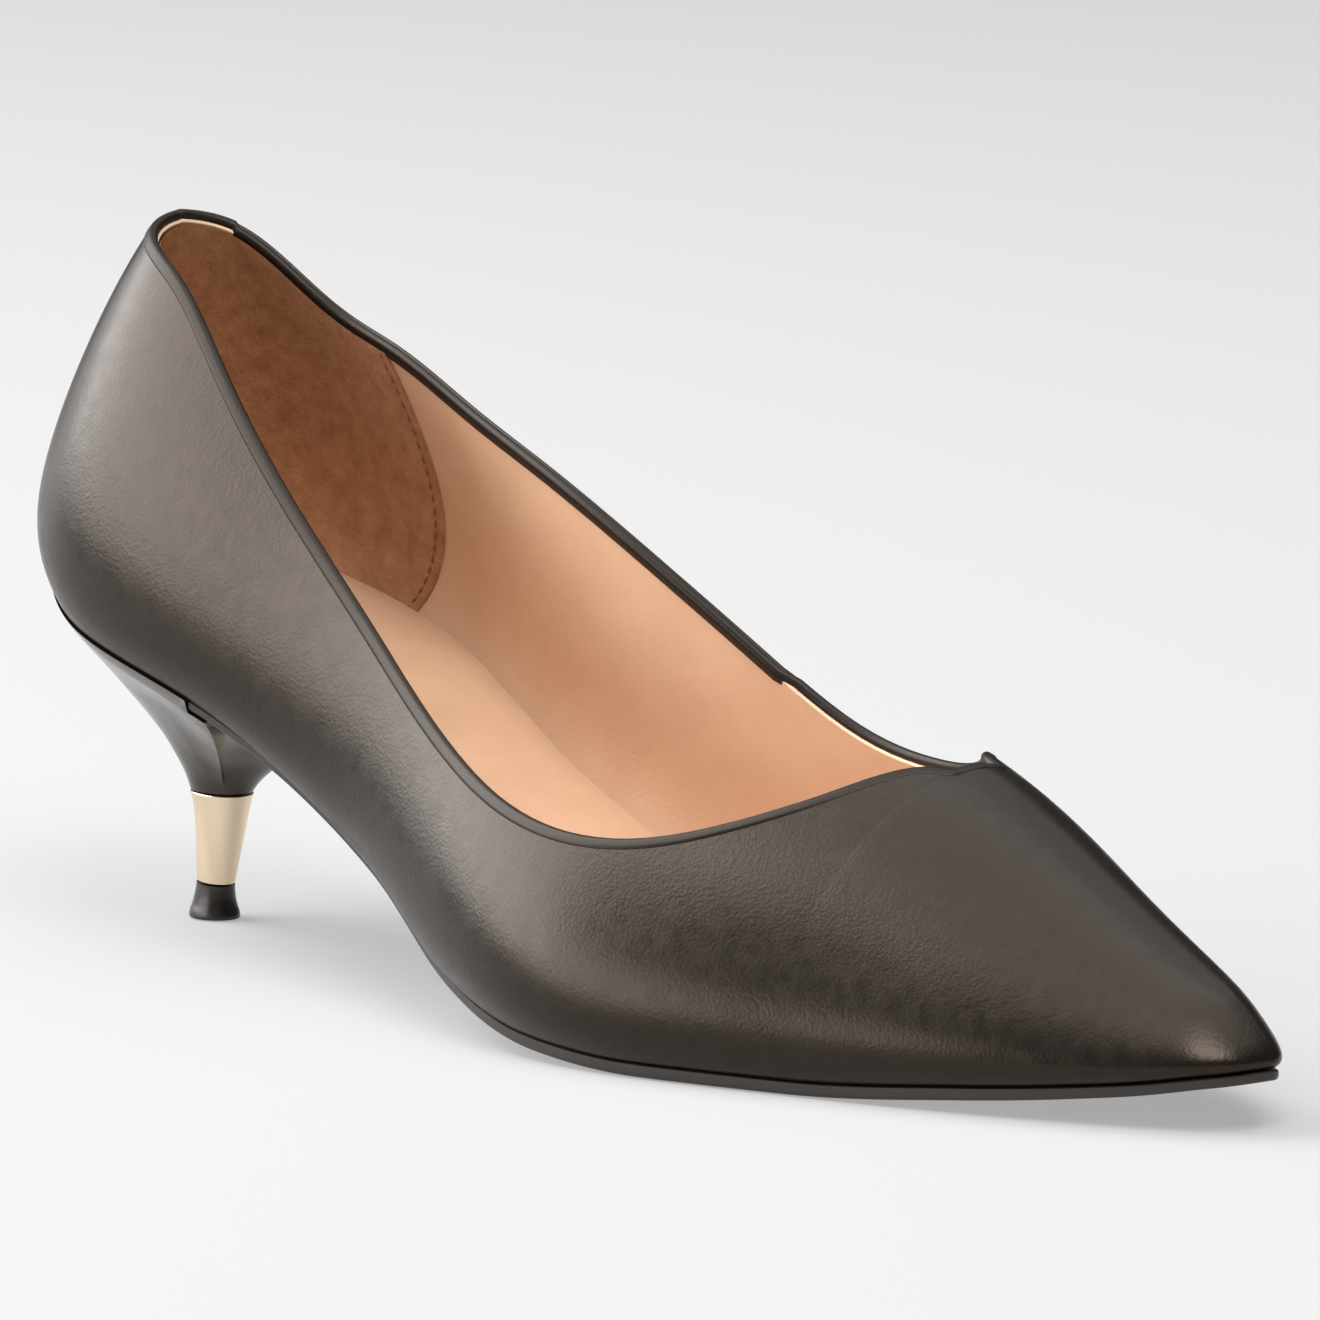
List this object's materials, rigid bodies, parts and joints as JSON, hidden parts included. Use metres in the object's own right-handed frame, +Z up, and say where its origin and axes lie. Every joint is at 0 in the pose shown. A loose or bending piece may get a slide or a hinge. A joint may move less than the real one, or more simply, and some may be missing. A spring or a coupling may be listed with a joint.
{
  "type": "kitten heel pump",
  "caption": "Women's pointed-toe pump in black leather on a slim kitten heel, its stem wrapped in a gold metal sleeve.",
  "frame": {"origin": "centre of the top lift's face on the floor", "axes": "+X towards the toe, +Y towards the inner side of the foot, +Z up from the floor"},
  "size_m": [0.2551, 0.0772, 0.1055],
  "materials": {
    "black_leather": "smooth black calf with a soft sheen",
    "tan_leather": "smooth tan sock leather",
    "sole_leather": "black dyed sole with a painted edge",
    "heel_cover": "glossy black cover over a moulded plastic block",
    "gold_metal": "pale gold plated sleeve, polished",
    "lift_plastic": "black hard-wearing plastic"
  },
  "bodies": {
    "root": {"upper": "black_leather", "insole": "tan_leather", "outsole": "sole_leather", "heel": "heel_cover", "heel_collar": "gold_metal", "top_lift": "lift_plastic"}
  },
  "joints": []
}
